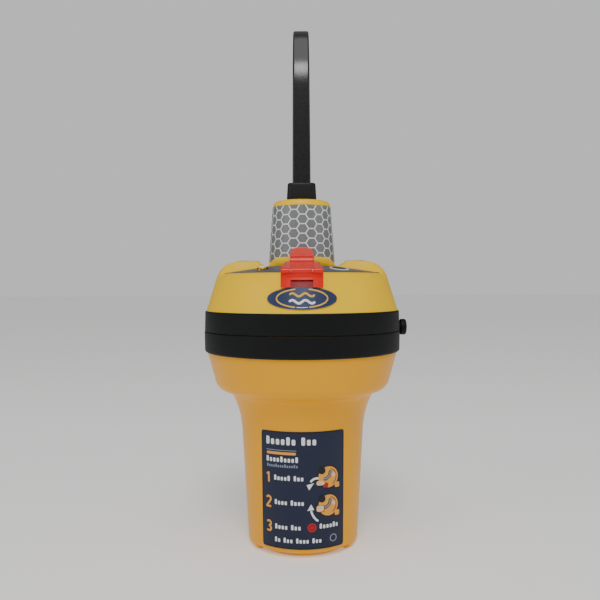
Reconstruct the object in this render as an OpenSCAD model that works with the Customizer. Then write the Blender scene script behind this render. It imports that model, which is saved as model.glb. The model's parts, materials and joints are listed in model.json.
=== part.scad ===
// Emergency position beacon with a stowable blade whip. Millimetres, +Z up, front towards -Y.
// The origin is the centre of the flat base.

/* [Grip] */
// Radius of the grip just above its bottom edge
grip_r_low = 27.2; // [25:0.1:30]
// Radius of the grip where the flare starts
grip_r_high = 30.1; // [29:0.1:32]
// Height where the flare starts
grip_h = 57; // [50:0.5:60]
// Wall of the two case halves
wall = 2.3; // [1.8:0.1:3]

/* [Float bowl] */
// Radius of the case behind the bumper band
case_r = 46.6; // [45:0.1:48]
// Height where the band starts
band_low_z = 94; // [90:0.5:96]
// Height of the joint between the two bumper rings
seam_z = 104.2; // [100:0.1:108]
// Height where the band ends
band_top_z = 114; // [110:0.5:116]
// Outer radius of the bumper band
band_r = 48.3; // [47.5:0.1:50]

/* [Cap and neck] */
// Height of the rim of the cap
rim_z = 131.95; // [130:0.05:134]
// Height of the foot of the neck
neck_foot_z = 135.7; // [134:0.1:137]
// Height of the top of the neck
neck_top_z = 168; // [160:0.5:172]
// Height of the flat top of the lamp humps
hump_z = 138.3; // [137:0.1:140]
// Distance from the middle to the inner face of a hump
hump_in = 19; // [18:0.5:22]
// Half width of a hump, front to back
hump_half = 13; // [10:0.5:15]

/* [Whip] */
// Width of the blade at the boot
whip_w = 9.3; // [8:0.1:11]
// Narrowing of the blade at each joint
whip_taper = 0.28; // [0.1:0.01:0.35]
// Thickness of the blade
whip_t = 2.2; // [1.8:0.1:2.6]
// Height where the stowed loop starts to bend
loop_z = 219; // [205:1:225]
// Half the distance between the two legs of the loop
loop_a = 25.6; // [25:0.1:28]
// Height of the bent part of the loop
loop_b = 41.6; // [36:1:58]
// Height of the end of the stowed whip
tip_z = 104; // [101:0.5:108]

/* [Guard and keys] */
// Width of the red guard
guard_w = 18.6; // [16:0.2:20]
// Distance of the hinge pin in front of the middle
pin_y = 43; // [42.5:0.1:44]
// Height of the hinge pin
pin_z = 132.7; // [132.4:0.1:133.4]
// Radius of the hinge pin
pin_r = 0.6; // [0.4:0.05:0.7]
// Diameter of the activation key
on_d = 9; // [7:0.5:9.5]
// Diameter of the test key
test_d = 7; // [6:0.5:8]

/* [Hidden] */
$fn = 72;
fit = 0.05;
barrel_r = 1.3;
grip_slope = (grip_r_high - grip_r_low) / (grip_h - 5.5);
in_r = case_r - wall - 0.1;
on_pos = [0, -28];
test_pos = [17.3, -24];
lamp_pos = [-18.3, -24];
label_z = [4.5, 58.4];
joints = 6;
bend = 180 / joints;

// Points of a round stretch from a to c that leans towards b
function bend_pts(a, b, c, n = 6) = [for (i = [0:n]) let (t = i / n)
    (1 - t) * (1 - t) * a + 2 * t * (1 - t) * b + t * t * c];
// Radius of the grip at height z
function grip_r(z) = grip_r_low + (z - 5.5) * grip_slope;
// Height of the cap's cone at radius r, and radius of its side at height z
function cone_z(r) = rim_z + (39.6 - r) / (39.6 - 17.5) * (neck_foot_z - rim_z);
function side_r(z) = 47.3 - (z - band_top_z) * 0.312;
// Radius of the neck at height z
function neck_r(z) = let (t = (z - 137.6) / (neck_top_z - 2.8 - 137.6))
    16.1 * (1 - t) * (1 - t) + 30.2 * t * (1 - t) + 14.2 * t * t;

// Tangent lines of the loop's half ellipse: k is the link, counted from the boot
function tang_n(k) = [-cos(bend * k), sin(bend * k)];
function tang_h(k) = sqrt(pow(loop_a * cos(bend * k), 2) + pow(loop_b * sin(bend * k), 2));
// Joint k, where the tangents of links k-1 and k cross, as [y, z]
function joint_at(k) = let (m = tang_n(k - 1), n = tang_n(k), g = tang_h(k - 1), h = tang_h(k),
    c = m[0] * n[1] - m[1] * n[0])
    [loop_a + (g * n[1] - h * m[1]) / c, loop_z + (m[0] * h - n[0] * g) / c];
function link_w(k) = whip_w - k * whip_taper;

module turned(pts, from = 0, sweep = 360) {
    rotate([0, 0, from]) rotate_extrude(angle = sweep) polygon(pts);
}

module lower_case() {
    outer = concat([[0, 0], [23.6, 0]], bend_pts([23.6, 0], [26.7, 0.1], [27.0, 3]),
        bend_pts([grip_r_high, grip_h], [30.9, 65.5], [34.2, 72]),
        bend_pts([34.2, 72], [35.2, 74.3], [38.4, 75.2]),
        bend_pts([38.4, 75.2], [42.2, 76.2], [43.2, 80.6]),
        [[case_r, band_low_z - 1], [case_r, seam_z - 0.3], [in_r, seam_z - 0.3]]);
    inner = [[in_r, 95], [41, 81.5], [36.6, 78], [33, 75], [27.6, grip_h], [24.6, 4], [22, 3], [0, 3]];
    color("goldenrod") difference() {
        turned(concat(outer, inner));
        // the front of the foot stands clear of the table
        turned([[21, -1], [30, -1], [30, 1.9], [22.4, 1.9]], -142, 104);
        // groove of the case seal
        translate([0, 0, seam_z - 1.6]) difference() {
            cylinder(r = 46.1, h = 3);
            translate([0, 0, -1]) cylinder(r = 44.6, h = 5);
        }
        for (a = [75, 105]) rotate([0, 0, a]) translate([38, 0, 86]) rotate([0, 90, 0])
            cylinder(r = 2.05, h = 10);
    }
}

module case_seal() {
    color("dimgray") translate([0, 0, seam_z - 0.95]) rotate_extrude()
        translate([45.35, 0]) circle(r = 0.62);
}

// The outside of the dome that the two humps are cut from
module hump_dome() {
    turned(concat([[0, 128], [side_r(128) - 0.4, 128]],
        bend_pts([side_r(128) - 0.4, 128], [40.9, 136.8], [33.5, hump_z - 0.4]),
        [[29, hump_z], [0, hump_z]]));
}

module humps() {
    intersection() {
        hump_dome();
        for (s = [0, 180]) rotate([0, 0, s]) translate([hump_in, -hump_half, 128])
            linear_extrude(12) polygon(concat(
                bend_pts([0, 4], [0, 0], [4, 0]), [[30, -3], [30, 2 * hump_half + 3]],
                bend_pts([4, 2 * hump_half], [0, 2 * hump_half], [0, 2 * hump_half - 4])));
    }
}

module upper_case() {
    outer = concat([[in_r, seam_z - 0.2], [case_r, seam_z - 0.2], [case_r, band_top_z + 0.02],
        [side_r(band_top_z), band_top_z + 0.05]],
        bend_pts([side_r(126.5), 126.5], [42, 131.4], [39.6, rim_z]),
        bend_pts([17.5, neck_foot_z], [16.3, 136], [16.1, 137.6]),
        [for (z = [141:4:161]) [neck_r(z), z]],
        bend_pts([14.2, neck_top_z - 2.8], [14, neck_top_z], [11.6, neck_top_z]),
        [[0, neck_top_z]]);
    inner = [[0, neck_top_z - 3.5], [11.7, neck_top_z - 3.5], [13.5, 138], [16, 133.3],
        [38.2, 129.4], [41, 126], [in_r, 112]];
    color("gold") difference() {
        union() {
            difference() {
                turned(concat(outer, inner));
                for (s = [-1, 1]) translate([s * 26.5 - 5, -7, 126]) cube([10, 14, 20]);
            }
            difference() {
                humps();
                translate([0, 0, 120]) cylinder(r1 = 46, r2 = 22.4, h = 14);
                for (s = [-1, 1]) translate([s * 26.5 - 5, -7, 126]) cube([10, 14, 20]);
            }
            for (p = [[-30, -14], [30, -14], [-21, 25], [21, 25]])
                translate([p[0], p[1], 123.1]) cylinder(r = 3, h = 8.2);
        }
        translate([0, 0, 160]) cylinder(r = 3 + fit, h = 20);
        translate([on_pos[0], on_pos[1], 120]) cylinder(d = on_d + 0.4, h = 20);
        translate([test_pos[0], test_pos[1], 120]) cylinder(d = test_d + 0.4, h = 20);
        translate([lamp_pos[0], lamp_pos[1], 120]) cylinder(d = 3.4, h = 20);
        for (p = [[-30, -14], [30, -14], [-21, 25], [21, 25]])
            translate([p[0], p[1], 120]) cylinder(r = 1.3, h = 9);
    }
}

module ring(low, high, cut_low, cut_high) {
    turned([[case_r + 0.05, low], [band_r - cut_low, low],
        [band_r, low + cut_low], [band_r, high - cut_high], [band_r - cut_high, high],
        [case_r + 0.05, high]]);
}
module band_lower() { color("#222326") ring(band_low_z, seam_z - 0.1, 1.4, 0.3); }
module band_upper() { color("#222326") ring(seam_z + 0.1, band_top_z, 0.3, 0.5); }

module reflective_tape() {
    color("silver") turned(concat([for (z = [138:3:165]) [neck_r(z) + 0.04, z]],
        [for (z = [165:-3:138]) [neck_r(z) + 0.3, z]]));
}

module antenna_boot() {
    color("#26282a") difference() {
        hull() {
            translate([-7.3, -5.6, neck_top_z + 0.02]) cube([14.6, 11.2, 6.5]);
            translate([-6.4, -4.7, neck_top_z + 0.02]) cube([12.8, 9.4, 8.9]);
        }
        translate([0, 0, neck_top_z - 1]) cylinder(r = 3 + fit, h = 5);
        translate([-whip_w / 2 - fit, -whip_t / 2 - fit, neck_top_z + 3.9])
            cube([whip_w + 2 * fit, whip_t + 2 * fit, 10]);
    }
}
module antenna_stud() {
    color("goldenrod") translate([0, 0, 157]) cylinder(r = 3, h = neck_top_z + 3.9 - 157);
}
module feed_wire() { color("tan") translate([0, 0, 123.1]) cylinder(r = 0.8, h = 157 - 123.1); }

// A blade of the whip that starts at its joint with a round edge and ends at the next joint
module link(at, turn, length, w, first = false, last = false) {
    translate([0, at[0], at[1]]) rotate([-turn, 0, 0]) difference() {
        union() {
            translate([-w / 2, -whip_t / 2, 0]) cube([w, whip_t, length]);
            if (!first) rotate([0, 90, 0]) cylinder(d = whip_t, h = w, center = true);
        }
        if (!last) translate([0, 0, length]) rotate([0, 90, 0])
            cylinder(r = whip_t / 2 + 0.15, h = w + 2, center = true);
    }
}
module middle_link(k) {
    color("#1c1d1f") link(joint_at(k), bend * k, norm(joint_at(k + 1) - joint_at(k)), link_w(k));
}
module whip_root() {
    foot = neck_top_z + 3.9;
    color("#1c1d1f") link([0, foot], 0, joint_at(1)[1] - foot, link_w(0), first = true);
}
module whip_1() { middle_link(1); }
module whip_2() { middle_link(2); }
module whip_3() { middle_link(3); }
module whip_4() { middle_link(4); }
module whip_5() { middle_link(5); }
module whip_6() {
    color("#1c1d1f") link(joint_at(6), 180, joint_at(6)[1] - tip_z - 9, link_w(6), last = true);
}
module whip_tip() {
    color("#1c1d1f") translate([0, 2 * loop_a, tip_z]) difference() {
        translate([-4.4, -1.5, 0]) cube([8.8, 3, 9]);
        for (s = [-1, 1]) translate([s * 4.4, 0, 0]) rotate([0, 45, 0]) cube([2, 4, 2], center = true);
    }
}

module stow_clip() {
    color("#222326") difference() {
        translate([-7.2, 44, seam_z + 1]) cube([14.4, 10.6, 14.8]);
        translate([0, 0, 100]) cylinder(r = band_r + 0.05, h = 14.1);
        turned([[0, 114], [side_r(band_top_z) + 0.15, 114], [side_r(124) + 0.15, 124], [0, 124]]);
        translate([-4.9, 2 * loop_a - 1.8, 90]) cube([9.8, 10, 40]);
        for (s = [-1, 1]) translate([s * 7.2, 54.6, 90]) rotate([0, 0, 45])
            cube([2.4, 2.4, 80], center = true);
    }
}

module guard_base() {
    color("#e02a1c") difference() {
        union() {
            intersection() {
                turned([[side_r(125.4) + 0.08, 125.4], [side_r(125.4) + 1.4, 125.4],
                    [side_r(130) + 1.5, 130], [side_r(130) + 1.4, 132.7], [side_r(130) + 0.3, 132.7],
                    [side_r(129.6) + 0.15, 129.6]]);
                translate([-guard_w / 2, -60, 120]) cube([guard_w, 30, 13]);
            }
            for (s = [-1, 1]) translate([s * (guard_w / 2 - 2.2), -pin_y, pin_z]) rotate([0, 90, 0])
                cylinder(r = barrel_r, h = 4.4, center = true);
        }
        // recess of the guard's own knuckle, and the window below it
        translate([0, -pin_y, pin_z]) rotate([0, 90, 0])
            cylinder(r = barrel_r + 0.3, h = guard_w - 8.6, center = true);
        translate([-4.7, -50, 124]) cube([9.4, 5.6, 4.6]);
        translate([0, -pin_y, pin_z]) rotate([0, 90, 0]) cylinder(r = pin_r, h = 40, center = true);
    }
}
module guard_pin() {
    color("silver") translate([0, -pin_y, pin_z]) rotate([0, 90, 0])
        cylinder(r = pin_r, h = guard_w - 0.4, center = true);
}
module guard() {
    half = guard_w / 2;
    back = 19.6;
    color("#e4483c") difference() {
        union() {
            // lid that slopes up to the neck, narrower at the back
            intersection() {
                rotate([90, 0, 90]) linear_extrude(guard_w, center = true)
                    polygon([[-pin_y, pin_z - 0.7], [-pin_y, pin_z + barrel_r], [-back - 2.6, 137.6],
                    [-back - 1.4, 140.2], [-back, 140.2], [-back, 136.6], [-back - 2, 136.4]]);
                linear_extrude(160) polygon([[-half, -pin_y - 1], [half, -pin_y - 1],
                    [half, -40], [half - 2.4, -back + 1], [2.4 - half, -back + 1], [-half, -40]]);
            }
            // lifting tongue
            translate([0, -back, 0]) rotate([90, 0, 0]) linear_extrude(1.1) polygon(concat(
                [[-5.4, 139], [5.4, 139], [5.4, 141.5]], bend_pts([5.4, 141.5], [5.4, 144.2], [2.2, 144.2]),
                bend_pts([-2.2, 144.2], [-5.4, 144.2], [-5.4, 141.5])));
            translate([0, -pin_y, pin_z]) rotate([0, 90, 0])
                cylinder(r = barrel_r, h = guard_w - 9.2, center = true);
        }
        // room for the two knuckles of the base
        for (s = [-1, 1]) translate([s * (half - 2.3), -pin_y, pin_z]) rotate([0, 90, 0])
            cylinder(r = barrel_r + 0.3, h = 4.8, center = true);
        translate([0, -pin_y, pin_z]) rotate([0, 90, 0])
            cylinder(r = pin_r + fit, h = 40, center = true);
    }
}
module guard_catch() {
    color("gold") intersection() {
        turned([[16.5, 137.4], [17.8, 136.1], [18.9, 135.9], [18.9, 138.6], [17.9, 139.8],
            [16.5, 139.8]]);
        translate([0, 0, 130]) rotate([90, 0, 0]) linear_extrude(30) polygon(concat(
            [[-16, 0], [16, 0]], bend_pts([16, 6.4], [15.6, 9.8], [12.6, 9.8]),
            bend_pts([-12.6, 9.8], [-15.6, 9.8], [-16, 6.4])));
    }
}

module key_overlay() {
    color("slategray") difference() {
        intersection() {
            turned([[38.6, cone_z(38.6) + 0.03], [38.6, cone_z(38.6) + 0.3],
                [19.2, cone_z(19.2) + 0.3], [19.2, cone_z(19.2) + 0.03]]);
            translate([-45, -50, 120]) cube([90, 50 - hump_half - 0.3 - 1.2, 30]);
        }
        translate([on_pos[0], on_pos[1], 120]) cylinder(d = on_d + 0.4, h = 20);
        translate([test_pos[0], test_pos[1], 120]) cylinder(d = test_d + 0.4, h = 20);
        translate([lamp_pos[0], lamp_pos[1], 120]) cylinder(d = 6.2, h = 20);
    }
}
// A sprung key with a round cap and a collar that keeps it under the roof
module key(at, d, top) {
    translate([at[0], at[1], 0]) rotate_extrude() polygon([[0, 128.4], [d / 2 + 0.9, 128.4],
        [d / 2 + 0.9, 129.3], [d / 2, 129.3], [d / 2, top - 0.5], [d / 2 - 0.5, top], [0, top]]);
}
module on_key() { color("crimson") key(on_pos, on_d, 133.8); }
module test_key() { color("darkgreen") key(test_pos, test_d, 134.9); }
module key_switches() {
    color("white") for (p = [on_pos, test_pos]) translate([p[0], p[1], 123.1])
        cylinder(r = 3, h = 4.1);
}
module indicator_bezel() {
    z0 = cone_z(30.2);
    color("goldenrod") difference() {
        translate([lamp_pos[0], lamp_pos[1], z0 + 0.55]) cylinder(r = 2.9, h = 0.75);
        translate([lamp_pos[0], lamp_pos[1], 120]) cylinder(r = 1.95, h = 20);
    }
}
module indicator_lens() {
    color("white") translate([lamp_pos[0], lamp_pos[1], 0]) rotate_extrude() polygon(concat(
        [[0, 128], [1.6, 128], [1.6, 134.3], [1.9, 134.3], [1.9, 134.9]],
        bend_pts([1.9, 134.9], [1.6, 135.4], [0, 135.5], 4)));
}
module strobe_lens(s) {
    color("aliceblue") translate([s * 26.5, 0, 0]) intersection() {
        translate([-4.95, -6.95, 136.4]) cube([9.9, 13.9, 2.1]);
        translate([0, 20, 118.5]) rotate([90, 0, 0]) cylinder(r = 20, h = 40);
    }
}
module strobe_lens_left() { strobe_lens(-1); }
module strobe_lens_right() { strobe_lens(1); }
module strobe_lamps() {
    color("lightyellow") for (s = [-1, 1]) translate([s * 26.5, 0, 123.1]) {
        cylinder(r = 2.6, h = 10);
        translate([-2, -2, 10]) cube([4, 4, 1.6]);
    }
}

module badge() {
    color("midnightblue") intersection() {
        turned([[side_r(114.2) + 0.06, 114.2], [side_r(114.2) + 0.5, 114.2],
            [side_r(126.4) + 0.5, 126.4], [side_r(126.4) + 0.06, 126.4]]);
        translate([0, 0, 120.1]) rotate([90, 0, 0]) linear_extrude(60)
            polygon([for (i = [0:47]) [15.2 * cos(i * 7.5), 5.3 * sin(i * 7.5)]]);
    }
}
// A thin label wrapped round the grip, its middle at the given angle
module wrapped_label(z0, z1, mid, half) {
    turned([[grip_r(z0) + 0.09, z0], [grip_r(z0) + 0.4, z0],
        [grip_r(z1) + 0.4, z1], [grip_r(z1) + 0.09, z1]], mid - half, 2 * half);
}
module front_label() { color("midnightblue") wrapped_label(label_z[0], label_z[1], -90, 43); }
module rear_label() { color("white") wrapped_label(12, 50, 90, 36); }

module lanyard_knob() {
    color("#222326") translate([0, 0, seam_z + 1.2]) rotate([0, 90, 0]) rotate_extrude()
        polygon([[0, band_r + 0.2], [3.95, band_r + 0.2], [3.95, band_r + 2.6],
        [3, band_r + 3.6], [0, band_r + 3.9]]);
}
module sea_contacts() {
    color("silver") for (a = [75, 105]) rotate([0, 0, a]) translate([40.6, 0, 86])
        rotate([0, 90, 0]) cylinder(r = 2, h = 5.2);
}

module battery_cells() {
    color("royalblue") for (a = [30, 150, 270]) rotate([0, 0, a]) translate([9.95, 0, 6.05]) {
        cylinder(r = 8.5, h = 33.4);
        translate([0, 0, 33.4]) cylinder(r = 2.5, h = 1);
    }
}
module battery_holder() {
    color("black") difference() {
        translate([0, 0, 3.05]) cylinder(r = 21.8, h = 14);
        for (a = [30, 150, 270]) rotate([0, 0, a]) translate([9.95, 0, 6]) cylinder(r = 8.6, h = 20);
    }
}
module battery_clamp() {
    color("black") difference() {
        translate([0, 0, 40.5]) cylinder(r = 25, h = 3);
        translate([0, 0, 40]) cylinder(r = 2, h = 6);
    }
}
module main_board() { color("darkgreen") translate([-20, 2, 43.55]) cube([40, 1.6, 56]); }
module rf_shield() { color("lightgray") translate([-13, -2.1, 62]) cube([26, 4, 24]); }
module buzzer() { color("black") translate([0, 3.7, 54]) rotate([-90, 0, 0]) cylinder(r = 7, h = 7); }
module top_board() { color("darkgreen") translate([0, 0, 121.4]) cylinder(r = 37.5, h = 1.6); }
module gps_patch() { color("tan") translate([-9, 16, 123.1]) cube([18, 18, 4]); }
module board_screws() {
    color("silver") for (p = [[-30, -14], [30, -14], [-21, 25], [21, 25]])
        translate([p[0], p[1], 119.7]) cylinder(r = 2.6, h = 1.6);
}

lower_case();
upper_case();
band_lower();
band_upper();
case_seal();
reflective_tape();
antenna_boot();
antenna_stud();
feed_wire();
whip_root();
whip_1();
whip_2();
whip_3();
whip_4();
whip_5();
whip_6();
whip_tip();
stow_clip();
guard_base();
guard_pin();
guard();
guard_catch();
key_overlay();
on_key();
test_key();
key_switches();
indicator_bezel();
indicator_lens();
strobe_lens_left();
strobe_lens_right();
strobe_lamps();
badge();
front_label();
rear_label();
lanyard_knob();
sea_contacts();
battery_cells();
battery_holder();
battery_clamp();
main_board();
rf_shield();
buzzer();
top_board();
gps_patch();
board_screws();
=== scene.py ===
"""Finished look of an emergency position beacon, built round its packed frame."""

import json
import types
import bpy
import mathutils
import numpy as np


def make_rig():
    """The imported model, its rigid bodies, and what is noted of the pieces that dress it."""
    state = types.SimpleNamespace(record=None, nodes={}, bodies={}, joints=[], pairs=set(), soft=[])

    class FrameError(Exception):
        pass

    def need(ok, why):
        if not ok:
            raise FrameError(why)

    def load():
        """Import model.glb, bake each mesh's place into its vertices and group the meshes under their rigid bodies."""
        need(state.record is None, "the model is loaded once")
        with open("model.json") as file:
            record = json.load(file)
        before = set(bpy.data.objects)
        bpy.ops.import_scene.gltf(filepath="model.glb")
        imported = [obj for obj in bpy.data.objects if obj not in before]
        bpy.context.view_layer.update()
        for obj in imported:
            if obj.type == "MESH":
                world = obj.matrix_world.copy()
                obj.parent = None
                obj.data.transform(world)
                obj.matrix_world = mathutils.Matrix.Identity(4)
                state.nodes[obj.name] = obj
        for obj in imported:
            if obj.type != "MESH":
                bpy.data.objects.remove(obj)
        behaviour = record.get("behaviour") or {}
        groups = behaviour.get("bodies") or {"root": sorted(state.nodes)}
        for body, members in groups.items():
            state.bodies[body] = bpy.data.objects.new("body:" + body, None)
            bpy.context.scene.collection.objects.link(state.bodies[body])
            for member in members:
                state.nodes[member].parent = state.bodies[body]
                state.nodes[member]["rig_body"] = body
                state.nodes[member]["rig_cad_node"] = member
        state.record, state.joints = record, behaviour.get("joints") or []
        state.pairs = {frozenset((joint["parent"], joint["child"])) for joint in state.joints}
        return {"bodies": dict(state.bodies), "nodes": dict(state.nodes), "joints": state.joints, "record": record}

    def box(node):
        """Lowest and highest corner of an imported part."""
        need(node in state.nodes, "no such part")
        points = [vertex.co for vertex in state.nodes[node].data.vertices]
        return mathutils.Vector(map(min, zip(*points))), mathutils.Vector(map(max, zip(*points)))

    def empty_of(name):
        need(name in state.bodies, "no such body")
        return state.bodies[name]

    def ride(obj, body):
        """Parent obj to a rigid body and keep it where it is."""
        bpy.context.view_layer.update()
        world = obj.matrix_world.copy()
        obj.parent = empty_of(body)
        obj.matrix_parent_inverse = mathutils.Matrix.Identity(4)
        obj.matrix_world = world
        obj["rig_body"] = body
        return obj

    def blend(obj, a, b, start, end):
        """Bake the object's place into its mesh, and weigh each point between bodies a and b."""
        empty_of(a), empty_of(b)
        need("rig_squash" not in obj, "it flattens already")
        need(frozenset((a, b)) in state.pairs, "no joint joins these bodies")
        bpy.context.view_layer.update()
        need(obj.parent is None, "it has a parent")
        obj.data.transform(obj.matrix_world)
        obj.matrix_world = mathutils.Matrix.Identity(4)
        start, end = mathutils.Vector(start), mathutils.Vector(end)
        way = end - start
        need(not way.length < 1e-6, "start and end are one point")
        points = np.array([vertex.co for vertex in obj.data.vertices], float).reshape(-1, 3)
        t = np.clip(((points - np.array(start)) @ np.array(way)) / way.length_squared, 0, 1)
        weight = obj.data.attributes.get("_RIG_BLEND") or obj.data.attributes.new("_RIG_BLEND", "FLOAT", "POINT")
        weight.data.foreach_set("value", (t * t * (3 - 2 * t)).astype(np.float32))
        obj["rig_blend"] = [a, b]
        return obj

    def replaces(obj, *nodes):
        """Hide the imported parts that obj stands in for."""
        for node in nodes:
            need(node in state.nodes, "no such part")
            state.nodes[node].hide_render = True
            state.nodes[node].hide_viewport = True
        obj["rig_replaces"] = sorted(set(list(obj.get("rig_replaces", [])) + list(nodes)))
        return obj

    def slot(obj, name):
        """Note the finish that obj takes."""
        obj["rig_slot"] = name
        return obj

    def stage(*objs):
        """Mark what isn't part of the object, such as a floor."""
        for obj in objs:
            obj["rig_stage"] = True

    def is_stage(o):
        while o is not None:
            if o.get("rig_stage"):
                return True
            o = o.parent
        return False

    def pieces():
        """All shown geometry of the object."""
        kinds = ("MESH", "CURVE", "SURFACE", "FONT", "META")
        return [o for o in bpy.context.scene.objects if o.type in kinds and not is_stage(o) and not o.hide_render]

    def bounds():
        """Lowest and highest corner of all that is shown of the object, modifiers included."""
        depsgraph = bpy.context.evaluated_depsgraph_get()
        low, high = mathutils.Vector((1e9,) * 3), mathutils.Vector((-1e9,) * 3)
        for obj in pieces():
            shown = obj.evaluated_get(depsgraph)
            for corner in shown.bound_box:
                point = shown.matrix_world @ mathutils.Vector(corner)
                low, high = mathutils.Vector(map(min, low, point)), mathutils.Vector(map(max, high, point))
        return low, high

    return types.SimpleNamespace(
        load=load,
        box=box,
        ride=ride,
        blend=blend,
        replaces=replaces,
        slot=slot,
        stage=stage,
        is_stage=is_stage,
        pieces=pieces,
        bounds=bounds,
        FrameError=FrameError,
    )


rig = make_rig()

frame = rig.load()

import json
import math

import bmesh
import bpy
import numpy as np
from mathutils import Vector

bl_info = {
    "name": "Position Beacon",
    "version": (1, 0, 0),
    "blender": (4, 5, 0),
    "location": "View3D > Sidebar > Beacon",
    "description": "Builds the outer shells, labels, whip and finishes of a floating position beacon",
    "category": "Object",
}

MM = 0.001
CAD_BOX = [list(corner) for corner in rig.bounds()]


def low(node):
    """Lowest corner of a CAD node in millimetres."""
    return [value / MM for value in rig.box(node)[0]]


def high(node):
    """Highest corner of a CAD node in millimetres."""
    return [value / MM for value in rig.box(node)[1]]


# ---------------------------------------------------------------- places that the frame gives
BAND_R = high("band_lower")[0]
BAND_LOW, BAND_HIGH = low("band_lower")[2], high("band_upper")[2]
SEAM = (high("band_lower")[2] + low("band_upper")[2]) / 2
CASE_R = high("lower_case")[0]
NECK_TOP = high("upper_case")[2]
BOOT_TOP = high("antenna_boot")[2]
LOOP_HALF = high("whip_6")[1] / 2 - (high("whip_6")[1] - low("whip_6")[1]) / 4
WHIP_T = high("whip_6")[1] - low("whip_6")[1]
TIP_Z = low("whip_tip")[2]
PIN_Y = (low("guard_pin")[1] + high("guard_pin")[1]) / 2
PIN_Z = (low("guard_pin")[2] + high("guard_pin")[2]) / 2
GUARD_W = high("guard")[0] * 2
JOINTS = {joint["name"]: joint for joint in frame["joints"]}
BENDS = 6
# how far the blade's bend reaches before and after each hinge
CURVE = ((9.5, 7.0), (4.6, 4.6), (3.9, 3.9), (3.9, 3.9), (4.6, 4.6), (7.0, 7.0))
# heights of the cap's rim, of the neck's foot and of the humps, and the cone's outer and inner radius
RIM_Z, NECK_FOOT_Z, HUMP_Z = 131.95, 135.7, 138.3
CONE_OUT, CONE_IN = 39.6, 17.5
HUMP_X = 26.5
WALL = 2.4
Z_TO_X = [[0, 0, 1], [0, 1, 0], [-1, 0, 0]]


# ---------------------------------------------------------------- curves and surfaces
def step(x):
    """Smooth step: 0 below 0, 1 above 1, and 3x^2 - 2x^3 between."""
    x = np.clip(x, 0.0, 1.0)
    return x * x * (3.0 - 2.0 * x)


def bend(a, b, c, n=10):
    """Quadratic curve from a to c that leans towards b: (1-t)^2 a + 2t(1-t) b + t^2 c."""
    t = np.linspace(0.0, 1.0, n + 1)[:, None]
    a, b, c = (np.asarray(p, float) for p in (a, b, c))
    return (1 - t) ** 2 * a + 2 * t * (1 - t) * b + t**2 * c


def line(a, b, n=2):
    """n + 1 evenly spaced points from a to b."""
    return np.linspace(np.asarray(a, float), np.asarray(b, float), n + 1)


def joined(*parts):
    """Points of several stretches in one array, without repeats where they meet."""
    points = np.vstack([np.atleast_2d(part) for part in parts])
    keep = np.r_[True, np.linalg.norm(np.diff(points, axis=0), axis=1) > 1e-6]
    return points[keep]


def lathe(profile, n=256, start=0.0, sweep=2 * math.pi):
    """Grid of a profile (r, z) turned about Z: x = r cos a, y = r sin a."""
    full = abs(sweep - 2 * math.pi) < 1e-9
    a = start + sweep * np.arange(n) / (n if full else n - 1)
    r, z = profile[:, 0, None], profile[:, 1, None]
    return np.stack([r * np.cos(a), r * np.sin(a), z + 0 * a], -1)


def skin(grid, wrap_rows=False, wrap_cols=True, caps=False, first=0):
    """Quads between neighbouring points of a grid, with its first and last row closed by caps if asked."""
    m, n = grid.shape[:2]
    index = first + np.arange(m * n).reshape(m, n)
    rows = np.arange(m if wrap_rows else m - 1)
    cols = np.arange(n if wrap_cols else n - 1)
    i, j = np.meshgrid(rows, cols, indexing="ij")
    k, l = (i + 1) % m, (j + 1) % n
    quads = np.stack([index[i, j], index[i, l], index[k, l], index[k, j]], -1).reshape(-1, 4)
    faces = quads.tolist()
    if caps:
        faces += [index[0, ::-1].tolist(), index[-1].tolist()]
    return grid.reshape(-1, 3), faces


def solid(name, parts, finish, slot=None, sharp=40.0, bevel=None, weld=1e-4):
    """One object from (points in millimetres, faces) pairs: doubles merged, normals outward, smooth under an angle."""
    points, faces, count = [], [], 0
    for xyz, quads in parts:
        points.append(xyz)
        faces += [[v + count for v in f] for f in quads]
        count += len(xyz)
    mesh = bpy.data.meshes.new(name)
    mesh.from_pydata((np.vstack(points) * MM).tolist(), [], faces)
    bm = bmesh.new()
    bm.from_mesh(mesh)
    bmesh.ops.remove_doubles(bm, verts=bm.verts, dist=weld * MM)
    bmesh.ops.recalc_face_normals(bm, faces=bm.faces)
    bm.to_mesh(mesh)
    bm.free()
    mesh.shade_smooth()
    mesh.set_sharp_from_angle(angle=math.radians(sharp))
    mesh.materials.append(material(finish))
    piece = bpy.data.objects.new(name, mesh)
    bpy.context.scene.collection.objects.link(piece)
    if bevel:
        width, segments = bevel
        rounding = piece.modifiers.new("rounded edges", "BEVEL")
        rounding.width, rounding.segments = width * MM, segments
        rounding.limit_method, rounding.angle_limit = "ANGLE", math.radians(35)
        rounding.harden_normals = True
    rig.slot(piece, slot or finish)
    return piece


def turned(name, profile, finish, n=256, loop=False):
    """A closed solid of revolution; loop joins the profile's end to its start for a ring."""
    return solid(name, [skin(lathe(profile, n), wrap_rows=loop)], finish)


def on_slope(part, centre):
    """A part built upright at the origin, moved to its plan centre and sheared to lie along the cap's cone."""
    points, faces = part
    centre = np.asarray(centre, float)
    inward = -centre / np.linalg.norm(centre) * (NECK_FOOT_Z - RIM_Z) / (CONE_OUT - CONE_IN)
    shifted = points + np.r_[centre, 0.0]
    shifted[:, 2] += points[:, :2] @ inward
    return shifted, faces


def prism(outline, lo, hi, axis, steps=1):
    """Outline extruded from lo to hi along an axis: 0 takes (y, z), 1 takes (x, z), 2 takes (x, y)."""
    rest = [i for i in range(3) if i != axis]
    levels = np.linspace(lo, hi, steps + 1)
    grid = np.zeros((len(levels), len(outline), 3))
    grid[..., axis] = levels[:, None]
    grid[..., rest] = np.asarray(outline, float)[None]
    return skin(grid, caps=True)


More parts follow.
